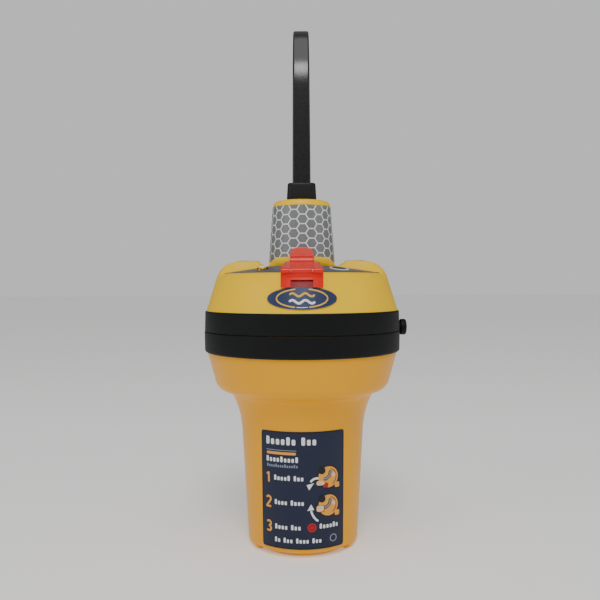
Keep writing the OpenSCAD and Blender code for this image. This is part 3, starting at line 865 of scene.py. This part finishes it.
# ---------------------------------------------------------------- guard and keys
def make_guard():
    """Red guard: base plate on the cap's front, sloping lid on the pin, lifting tongue, and the yellow catch."""
    half = GUARD_W / 2
    # base plate: the cap's side with a wall on it, its window open at the bottom
    z0, z1 = low("guard_base")[2], PIN_Z - 0.3

    def on_plate(u, v, lift):
        r = side_radius(np.minimum(v, 130.0)) + lift
        return np.stack([u, -np.sqrt(r * r - u * u), v], -1)

    window, window_top = 4.9, z0 + 3.3
    plates = []
    for x0, x1, zlo, zhi in ((-half, -window, z0, z1), (window, half, z0, z1), (-window, window, window_top, z1)):
        xs = np.r_[x0, x0 + 0.25, np.linspace(x0 + 0.6, x1 - 0.6, 5), x1 - 0.25, x1]
        zs = np.r_[zlo, zlo + 0.25, np.linspace(zlo + 0.6, zhi - 0.4, 8), zhi]
        u, v = np.meshgrid(xs, zs, indexing="ij")
        top = on_plate(u, v, 1.45 + 0 * u)
        under = on_plate(u, v, 0.06 + 0 * u)
        ring_top = np.vstack([top[:, 0], top[-1, 1:], top[-2::-1, -1], top[0, -2:0:-1]])
        ring_under = np.vstack([under[:, 0], under[-1, 1:], under[-2::-1, -1], under[0, -2:0:-1]])
        plates += [skin(top, wrap_cols=False), skin(under, wrap_cols=False),
                   skin(np.stack([ring_top, ring_under]))]
    base = solid("guard_plate", plates, "guard_red", sharp=30)
    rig.ride(base, "root")
    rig.replaces(base, "guard_base")
    # the window is filled by a dark red sheet on the cap: painted shade where the opening sinks in
    opening = [[-window, z0], [window, z0], [window, window_top], [-window, window_top]]
    shaded_window_sheet = solid("guard_window", [patch(on_front, opening, 0.1, 0.4, rings=3)], "guard_window", "guard_red")
    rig.ride(shaded_window_sheet, "root")

    def barrel(x0, x1, r=1.3):
        outline = joined([0, x0], bend([r - 0.2, x0], [r, x0], [r, x0 + 0.2], 3),
                         bend([r, x1 - 0.2], [r, x1], [r - 0.2, x1], 3), [0, x1])
        return moved(skin(lathe(outline, 40)), Z_TO_X, (0, PIN_Y, PIN_Z))

    knuckles = solid("guard_knuckles", [barrel(-half, -4.8), barrel(4.8, half)], "guard_red")
    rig.ride(knuckles, "root")
    # lid: a side profile carried across, drawn in towards the neck
    side = joined([PIN_Y + 0.2, PIN_Z - 0.75], [PIN_Y - 0.6, PIN_Z + 1.05], [PIN_Y + 0.3, PIN_Z + 1.3],
                  [-23.2, 137.35], bend([-22.4, 137.5], [-21.6, 137.7], [-21.2, 139.0], 5), [-21.0, 140.2],
                  [-19.7, 140.2], [-19.6, 136.7], [-21.6, 136.3])
    xs = np.linspace(-1, 1, 25)
    grid = np.zeros((len(xs), len(side), 3))
    taper = half - 1.3 * step((side[:, 0] + 40) / 16.0)
    taper = np.where(side[:, 0] > -22.6, 5.7, taper)
    grid[..., 0] = xs[:, None] * taper[None]
    grid[..., 1:] = side[None]
    lid = solid("guard_lid", [skin(grid, caps=True), barrel(-4.6, 4.6)], "guard_red", sharp=30, bevel=(0.25, 3))
    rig.ride(lid, "guard")
    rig.replaces(lid, "guard")
    tongue = joined([-5.6, 139.9], [5.6, 139.9], bend([5.6, 140.2], [5.6, 144.2], [1.2, 144.2], 10),
                    bend([-1.2, 144.2], [-5.6, 144.2], [-5.6, 140.2], 10))
    # the tongue takes the lighter pink copy of the red: painted light, besides the light that passes through it
    grip = solid("guard_tongue", [prism(tongue, -20.7, -19.7, 1)], "guard_thin", "guard_red", bevel=(0.35, 4))
    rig.ride(grip, "guard")
    # yellow catch between guard and neck: a low wall round the neck's front that drops to its ends
    wall_r, half_wall, half_angle, crest, bottom = 17.75, 1.25, math.radians(57.5), 139.85, 135.4
    s = np.linspace(-1, 1, 49)
    a = s * half_angle
    top = crest - 3.4 * np.abs(s) ** 7
    section = round_box(2, 2, 0.8, 5)
    grid = np.zeros((len(s), len(section), 3))
    reach = wall_r + section[None, :, 0] * half_wall
    grid[..., 0] = np.sin(a)[:, None] * reach
    grid[..., 1] = -np.cos(a)[:, None] * reach
    grid[..., 2] = bottom + (section[None, :, 1] + 1) / 2 * (top - bottom)[:, None]
    # the catch takes the cap's brighter copy of the yellow: painted light
    catch = solid("catch", [skin(grid, caps=True)], "cap_yellow", sharp=60)
    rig.ride(catch, "root")
    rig.replaces(catch, "guard_catch")


def make_keys():
    """Grey overlay on the cone, test key, activation key and indicator."""
    a = np.linspace(-math.radians(68.5), math.radians(68.5), 201)
    edge = -low("key_overlay")[1]
    rear = 14.6
    inner = np.maximum(19.2, rear / np.cos(a))
    rows = 56
    t = np.r_[np.linspace(0, 1, rows), np.linspace(1, 0, rows)]
    lift = np.r_[np.full(rows, 0.3), np.full(rows, 0.02)]
    r = inner[:, None] + (edge - inner)[:, None] * t[None]
    x, y = r * np.sin(a)[:, None], -r * np.cos(a)[:, None]
    overlay = solid("overlay", [skin(on_cone(x, y, lift[None] - well(x, y)), caps=True)], "overlay_grey", sharp=50)
    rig.ride(overlay, "root")
    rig.replaces(overlay, "key_overlay")

    def key(name, node, body, finish, crown, proud, rim_finish, rim_width):
        lo, hi = low(node), high(node)
        centre = ((lo[0] + hi[0]) / 2, (lo[1] + hi[1]) / 2)
        r = (hi[0] - lo[0]) / 2 - 0.9
        face = cone_height(math.hypot(*centre)) + 0.3
        top = face + proud
        foot = lo[2] + 0.9
        outline = joined([0, foot], [r, foot],
                         bend([r, top - 0.7], [r, top - crown], [r - 0.8, top - crown * 0.5], 8),
                         bend([r - 0.8, top - crown * 0.5], [r / 2, top], [0, top], 8))
        piece = solid(name, [on_slope(skin(lathe(outline, 72)), centre)], finish)
        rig.ride(piece, body)
        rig.replaces(piece, node)
        inside, outside = r + 0.12, r + 0.12 + rim_width
        ring = joined([inside, face - 1.6], [outside, face - 1.6],
                      bend([outside, face + 0.1], [outside, face + 0.3], [outside - 0.25, face + 0.3], 4),
                      bend([inside + 0.2, face + 0.3], [inside, face + 0.3], [inside, face + 0.1], 4))
        rim = solid(f"{name}_rim", [on_slope(skin(lathe(ring, 72), wrap_rows=True), centre)], rim_finish, "key_white")
        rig.ride(rim, "root")
    key("activation_key", "on_key", "on_key", "key_red", 0.3, 0.45, "ink_grey", 0.9)
    key("test_button", "test_key", "test_key", "key_green", 0.25, 0.7, "key_white", 1.0)

    lo, hi = low("indicator_bezel"), high("indicator_bezel")
    centre = ((lo[0] + hi[0]) / 2, (lo[1] + hi[1]) / 2)
    r = (hi[0] - lo[0]) / 2
    z0, z1 = cone_height(30.2) - 0.4, hi[2]
    ring = joined([1.97, z0], [r, z0], bend([r, z1 - 0.5], [r, z1], [r - 0.5, z1], 5),
                  bend([2.3, z1], [1.97, z1], [1.97, z1 - 0.3], 4))
    bezel = solid("indicator_ring", [on_slope(skin(lathe(ring, 64), wrap_rows=True), centre)], "gold_contact")
    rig.ride(bezel, "root")
    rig.replaces(bezel, "indicator_bezel")
    top = high("indicator_lens")[2]
    dome = joined([0, 130], [1.6, 130], [1.6, 134.2], [1.92, 134.3], bend([1.92, 134.6], [1.8, top], [0, top], 10))
    lens = solid("indicator_dome", [on_slope(skin(lathe(dome, 48)), centre)], "indicator_lens")
    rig.ride(lens, "root")
    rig.replaces(lens, "indicator_lens")


def make_strobes():
    """Clear windows in the humps: a crowned plate with round corners, thickest in the middle."""
    for side in ("left", "right"):
        node = f"strobe_lens_{side}"
        lo, hi = low(node), high(node)
        centre = np.array([(lo[0] + hi[0]) / 2, 0.0])
        outline = dense(round_box(hi[0] - lo[0], hi[1] - lo[1], 2.2, 8, centre), 0.8)
        s = np.linspace(0, 1, 9)
        scale = np.r_[s, s[::-1]]
        uv = centre + scale[:, None, None] * (outline - centre)[None]
        z = np.where(np.arange(18)[:, None] < 9, hi[2] + 0.1 - 0.28 * scale[:, None] ** 4, lo[2]) + 0 * uv[..., 0]
        lens = solid(f"strobe_window_{side}", [skin(np.dstack([uv, z]))], "strobe_lens")
        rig.ride(lens, "root")
        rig.replaces(lens, node)
        # white reflector below it, a dish that rises to its rim with the fourth power
        rim = dense(round_box(hi[0] - lo[0] - 0.9, hi[1] - lo[1] - 0.9, 2.0, 8, centre), 0.8)
        s = np.r_[np.linspace(0, 1, 13), np.linspace(1, 0, 13)]
        uv = centre + s[:, None, None] * (rim - centre)[None]
        floor = high("strobe_lamps")[2] - 0.6
        wall = np.where(np.arange(26) < 13, 0.0, 0.25)[:, None]
        z = floor + (lo[2] - floor) * s[:, None] ** 4 - wall + 0 * uv[..., 0]
        dish = solid(f"strobe_reflector_{side}", [skin(np.dstack([uv, z]))], "key_white")
        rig.ride(dish, "root")


# ---------------------------------------------------------------- badge, labels and contacts
def make_badge():
    """Oval badge: a domed plate on the cap's front with a gold ring and a plain wave sign."""
    w, h = sizes("badge_width"), sizes("badge_height")
    z = (low("badge")[2] + high("badge")[2]) / 2 + 0.6
    oval = arc((0, z), w / 2, 0, 352.5, 47, h / w)
    plate = solid("badge_plate", [patch(on_cap, oval, 0.03, 0.5, rings=12)], "badge_navy")
    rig.ride(plate, "root")
    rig.replaces(plate, "badge")
    ring = w * 0.36
    gold = [stroke(on_cap, arc((0, z), ring, start, start + 150, 40, 1.13 * h / w), 0.6, 0.4, 0.56)
            for start in (105, -75)]
    u = np.linspace(-5.6, 5.6, 25)
    gold += [stroke(on_cap, np.stack([u, z + 1.5 + 0.7 * np.sin(u * 1.12)], -1), 0.85, 0.4, 0.56)]
    waves = [stroke(on_cap, np.stack([u, z - 1.5 + 0.7 * np.sin(u * 1.12)], -1), 1.0, 0.4, 0.56),
             stroke(on_cap, arc((0, z), ring, 258, 282, 16, 1.13 * h / w), 0.3, 0.4, 0.56)]
    for name, finish, parts in (("badge_gold", "ink_gold", gold), ("badge_wave", "ink_white", waves)):
        piece = solid(name, parts, finish, "badge_navy")
        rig.ride(piece, "root")


def words(u, v, lengths, height):
    """Outlines of small plain blocks in place of words: tall and short ones in turn, v is the middle of a tall one."""
    out = []
    pitch = height * 0.68
    for size in lengths:
        for i in range(max(1, round(size / pitch))):
            tall = height if i % 4 == 0 else height * 0.72
            out.append(round_box(pitch * 0.66, tall, pitch * 0.2, 2, (u + pitch / 2, v - (height - tall) / 2)))
            u += pitch
        u += pitch * 0.75
    return out


def digit_paths(kind, u, v, h):
    """Centre lines of the step numbers 1, 2 and 3, h tall, as arcs and straight strokes."""
    r = h * 0.25
    if kind == 1:
        return [[[u - h * 0.2, v + h * 0.3], [u + h * 0.04, v + h * 0.5], [u + h * 0.04, v - h * 0.5]]]
    if kind == 2:
        top = arc((u, v + h * 0.5 - r), r, 160, -40, 14)
        return [np.vstack([top, [[u - r, v - h * 0.5], [u + r * 1.15, v - h * 0.5]]])]
    upper = arc((u, v + h * 0.5 - r), r * 0.95, 150, -90, 14)
    lower = arc((u, v - h * 0.5 + r), r, 90, -150, 14)
    return [np.vstack([upper, lower])]


def make_labels():
    """Front label with three steps, drawn with plain blocks, numbers and simple pictograms, and a plain rear label."""
    w, h = sizes("label_width"), sizes("label_height")
    mid = low("front_label")[2] + h / 2 + 0.2
    plate = solid("front_label_film", [patch(on_grip, round_box(w, h, 1.2, 6, (0, mid)), 0.03, 0.36, rings=18)],
                  "label_navy", sharp=50)
    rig.ride(plate, "root")
    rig.replaces(plate, "front_label")
    top, left = mid + h / 2, -w / 2
    inks = {"ink_white": [], "ink_orange": [], "ink_grey": [], "ink_black": [], "ink_skin": [], "ink_red": []}

    def ink(colour_name, path, width, level=0, close=False):
        inks[colour_name].append(stroke(on_grip, path, width, 0.3, 0.4 + 0.04 * level, close=close))

    def fill(colour_name, outline, level=0):
        inks[colour_name].append(patch(on_grip, outline, 0.3, 0.4 + 0.04 * level, rings=4))

    def text(colour_name, u, v, lengths, height):
        inks[colour_name] += [patch(on_grip, block, 0.3, 0.4, rings=2) for block in words(u, v, lengths, height)]

    text("ink_white", left + 2.4, top - 4.4, (15.6, 7.4), 3.7)
    ink("ink_orange", [[left + 3.0, top - 10.2], [left + 17.4, top - 10.2]], 1.2)
    ink("ink_grey", [[left + 2.8, top - 8.8], [left + 17.6, top - 8.8]], 0.35)
    text("ink_white", left + 2.6, top - 13.0, (15.4,), 2.6)
    text("ink_grey", left + 3.0, top - 16.0, (15.4,), 1.6)
    for kind, drop in ((1, 21.9), (2, 33.2), (3, 44.8)):
        for path in digit_paths(kind, left + 3.8, top - drop, 4.7):
            ink("ink_orange", path, 0.95)
    text("ink_white", left + 6.6, top - 21.6, (7.4, 5.0), 2.4)
    text("ink_white", left + 6.8, top - 33.0, (6.4, 6.0), 2.4)
    text("ink_white", left + 6.9, top - 44.5, (7.2, 4.2), 2.4)
    # pictograms: the cap from above, its whip, a hand's thumb and an arrow
    for n, drop in enumerate((21.4, 34.6)):
        c = np.array([left + 32.4, top - drop])
        fill("ink_black", arc(c + [0.2, -0.2], 5.5, 0, 350, 35), 0)
        fill("ink_black", round_box(3.2, 3.2, 0.8, 3, c + [4.4, -4.2]), 0)
        fill("ink_orange", round_box(2.5, 2.5, 0.6, 3, c + [4.5, -4.1]), 1)
        fill("ink_orange", arc(c, 4.9, 0, 350, 35), 2)
        ink("ink_black", arc(c, 3.9, -60, 75, 20), 0.35, 3)
        fill("ink_black", arc(c + [-3.2, 3.2], 1.7, 0, 345, 23), 3)
        ink("ink_black", [c + [0.9, 3.2], c + [0.5, 0.6], c + [-1.4, -0.9], c + [-2.6, -0.4]], 1.5, 3)
        ink("ink_grey", [c + [0.9, 3.0], c + [0.6, 0.6], c + [-1.4, -0.8], c + [-2.6, -0.4]], 0.8, 4)
        fill("ink_skin", arc(c + [2.6, 0.8], 1.05, 0, 340, 17), 3)
        if n == 0:
            fill("ink_red", round_box(2.4, 2.2, 0.6, 3, c + [-1.4, -3.7]), 4)
            fill("ink_black", round_box(4.2, 2.5, 1.1, 5, c + [-3.8, -2.7]), 5)
            fill("ink_skin", round_box(3.9, 2.1, 1.0, 5, c + [-3.9, -2.5]), 6)
            ink("ink_white", arc(c + [-5.6, -3.6], 3.4, 75, 150, 10), 0.95, 2)
            fill("ink_white", [c + [-10.3, -3.2], c + [-7.0, -2.4], c + [-9.2, -5.6]], 2)
        else:
            fill("ink_black", round_box(3.9, 3.3, 1.1, 5, c + [-4.0, -1.3]), 5)
            fill("ink_skin", round_box(3.5, 2.9, 1.0, 5, c + [-4.1, -1.2]), 6)
            ink("ink_white", arc(c + [-0.6, -0.6], 7.8, 190, 236, 10), 0.95, 2)
            fill("ink_white", [c + [-10.0, -2.0], c + [-6.9, -1.6], c + [-8.3, 1.0]], 2)
    red = np.array([left + 24.5, top - 44.6])
    fill("ink_red", arc(red, 2.1, 0, 345, 23), 0)
    ink("ink_black", arc(red, 1.15, 0, 345, 20), 0.25, 1, close=True)
    text("ink_white", left + 27.8, top - 44.1, (10.6,), 2.4)
    text("ink_white", left + 6.8, top - 50.7, (3.0, 5.0, 6.6, 4.6), 2.3)
    ink("ink_grey", arc((left + 34.9, top - 50.4), 1.6, 0, 345, 20), 0.5, 0, close=True)
    frame_line = round_box(w - 0.9, h - 0.9, 1.0, 6, (0, mid))
    ink("ink_black", frame_line, 0.5, 0, close=True)
    for name, parts in inks.items():
        piece = solid(f"label_{name}", parts, name, "label_navy", sharp=60)
        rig.ride(piece, "root")

    lo, hi = low("rear_label"), high("rear_label")
    centre = (lo[2] + hi[2]) / 2
    tall, wide = hi[2] - lo[2], math.radians(72) * grip_radius(30.0)
    sheet = solid("rear_label_film", [patch(on_back, round_box(wide, tall, 1.5, 6, (0, centre)), 0.03, 0.36, rings=16)],
                  "label_white", sharp=50)
    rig.ride(sheet, "root")
    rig.replaces(sheet, "rear_label")
    rows = []
    for i in range(6):
        v = centre + tall / 2 - 5 - i * 5.2
        rows.append(stroke(on_back, [[-wide / 2 + 3, v - 1.7], [wide / 2 - 3, v - 1.7]], 0.25, 0.3, 0.4))
        rows += [patch(on_back, block, 0.3, 0.4, rings=2)
                 for block in words(-wide / 2 + 3, v, (4.0 + i % 3, 6.0 - i % 2), 1.5)]
    lines = solid("rear_label_print", rows, "ink_black", "label_white", sharp=60)
    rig.ride(lines, "root")


def make_contacts():
    """Two sea contacts at the back: domed steel pins that stand out of the bowl."""
    parts = []
    for angle in (75, 105):
        outline = joined([0, 41], [2.0, 41], bend([2.0, 45.2], [2.0, 45.8], [1.4, 45.8], 5), [0, 45.9])
        a = math.radians(angle)
        turn = [[0, -math.sin(a), math.cos(a)], [0, math.cos(a), math.sin(a)], [-1, 0, 0]]
        parts.append(moved(skin(lathe(outline, 48)), turn, (0, 0, 86)))
    pins = solid("sea_pins", parts, "steel")
    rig.ride(pins, "root")
    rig.replaces(pins, "sea_contacts")


# ---------------------------------------------------------------- inside, stage
INSIDE = {"case_seal": "seal_rubber", "antenna_stud": "brass", "feed_wire": "wire_insulation", "guard_pin": "steel",
          "key_switches": "key_white", "strobe_lamps": "lamp_yellow", "battery_cells": "cell_wrap",
          "battery_holder": "inner_black", "battery_clamp": "inner_black", "main_board": "board_green",
          "rf_shield": "shield_tin", "buzzer": "inner_black", "top_board": "board_green", "gps_patch": "patch_ceramic",
          "board_screws": "steel"}


def finish_inside():
    """Gives each inner CAD piece its finish."""
    for node, key in INSIDE.items():
        piece = frame["nodes"][node]
        piece.data.materials.clear()
        piece.data.materials.append(material(key))


def make_stage():
    """Pale floor, white surroundings, soft lights and the camera."""
    edge = 8.0
    # strength of the surroundings as light, and as the plain backdrop behind the beacon
    as_light, as_backdrop = 0.21, 0.64
    mesh = bpy.data.meshes.new("floor")
    mesh.from_pydata([(-edge, -edge, 0), (edge, -edge, 0), (edge, edge, 0), (-edge, edge, 0)], [], [(0, 1, 2, 3)])
    mesh.materials.append(material("floor"))
    floor = bpy.data.objects.new("floor", mesh)
    scene = bpy.context.scene
    scene.collection.objects.link(floor)
    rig.stage(floor)
    world = bpy.data.worlds.new("studio")
    world.use_nodes = True
    tree = world.node_tree
    seen = add(tree, "ShaderNodeLightPath").outputs["Is Camera Ray"]
    level = add(tree, "ShaderNodeMapRange", {"To Min": as_light, "To Max": as_backdrop}, {"Value": seen})
    backdrop = tree.nodes["Background"]
    backdrop.inputs["Color"].default_value = (1.0, 1.0, 1.0, 1.0)
    tree.links.new(level.outputs[0], backdrop.inputs["Strength"])
    scene.world = world
    # name, place, what it points at, size in metres, power in watts
    lights = (("front softbox", (0.0, -0.75, 0.95), (0, 0, 0.2), 0.4, 5.2),
              ("left softbox", (-0.85, -0.5, 0.4), (0, 0, 0.11), 0.6, 1.6),
              ("right softbox", (0.85, -0.4, 0.35), (0, 0, 0.11), 0.6, 1.0))
    for name, place, target, size, power in lights:
        data = bpy.data.lights.new(name, "AREA")
        data.shape, data.size, data.energy = "SQUARE", size, power
        lamp = bpy.data.objects.new(name, data)
        lamp.location = place
        aim = np.array(target) - np.array(place)
        lamp.rotation_mode = "QUATERNION"
        lamp.rotation_quaternion = Vector(aim).to_track_quat("-Z", "Y")
        scene.collection.objects.link(lamp)
    data = bpy.data.lights.new("ceiling", "SUN")
    data.energy, data.angle = 0.75, math.radians(50)
    lamp = bpy.data.objects.new("ceiling", data)
    lamp.rotation_euler = (math.radians(20), 0, 0)
    scene.collection.objects.link(lamp)
    data = bpy.data.cameras.new("camera")
    data.lens, data.sensor_width = 40.8, 36.0
    data.shift_x, data.shift_y = -0.0033333333, -0.0245
    camera = bpy.data.objects.new("camera", data)
    camera.location = (0.0, -0.340, 0.1263)
    camera.rotation_euler = (math.radians(90), math.radians(0.25), 0)
    scene.collection.objects.link(camera)
    scene.camera = camera


# ---------------------------------------------------------------- the add-on
def operator(name, label, doc, build):
    """An operator class that runs one builder."""
    def execute(self, context):
        build()
        return {"FINISHED"}
    return type(f"BEACON_OT_{name}", (bpy.types.Operator,),
                {"bl_idname": f"beacon.{name}", "bl_label": label, "__doc__": doc, "execute": execute})


OPERATORS = [operator(*row) for row in (
    ("lower_case", "Float case", "Builds the grip and bowl", make_lower_case),
    ("upper_case", "Cap", "Builds the cap, humps and neck", make_upper_case),
    ("band", "Bumper band", "Builds the two rubber rings and the anchor knob", make_bumper_band),
    ("tape", "Reflective tape", "Builds the tape and its cells", make_tape),
    ("boot", "Whip boot", "Builds the boot under the whip", make_boot),
    ("whip", "Whip", "Builds the stowed blade", make_whip),
    ("clip", "Stow clip", "Builds the clip that holds the blade's end", make_stow_clip),
    ("guard", "Guard", "Builds the key guard and its catch", make_guard),
    ("keys", "Keys", "Builds the overlay, keys and indicator", make_keys),
    ("strobes", "Strobe windows", "Builds the clear windows of the humps", make_strobes),
    ("badge", "Badge", "Builds the oval badge", make_badge),
    ("labels", "Labels", "Builds the front and rear labels", make_labels),
    ("contacts", "Sea contacts", "Builds the two steel pins", make_contacts),
    ("inside", "Inner pieces", "Gives the inner pieces their finishes", finish_inside),
    ("stage", "Stage", "Builds the floor, lights and camera", make_stage),
)]


class BEACON_PT_panel(bpy.types.Panel):
    """Lists the sizes, the colours and the builders."""
    bl_idname = "BEACON_PT_panel"
    bl_label = "Position Beacon"
    bl_space_type = "VIEW_3D"
    bl_region_type = "UI"
    bl_category = "Beacon"

    def draw(self, context):
        column = self.layout.column()
        for group in (context.scene.beacon_sizes, context.scene.beacon_colours):
            for name in group.__annotations__:
                column.prop(group, name)
        for kind in OPERATORS:
            column.operator(kind.bl_idname)


CLASSES = [BeaconSizes, BeaconColours, *OPERATORS, BEACON_PT_panel]


def register():
    for kind in CLASSES:
        bpy.utils.register_class(kind)
    bpy.types.Scene.beacon_sizes = bpy.props.PointerProperty(type=BeaconSizes)
    bpy.types.Scene.beacon_colours = bpy.props.PointerProperty(type=BeaconColours)


def unregister():
    del bpy.types.Scene.beacon_sizes, bpy.types.Scene.beacon_colours
    for kind in reversed(CLASSES):
        bpy.utils.unregister_class(kind)


def main():
    """Registers the add-on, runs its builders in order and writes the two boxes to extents.json."""
    register()
    for kind in OPERATORS:
        getattr(bpy.ops.beacon, kind.bl_idname.split(".")[1])()
    with open("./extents.json", "w") as out:
        json.dump({"cad": CAD_BOX, "visual": [list(corner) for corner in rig.bounds()]}, out)


if __name__ == "__main__":
    main()
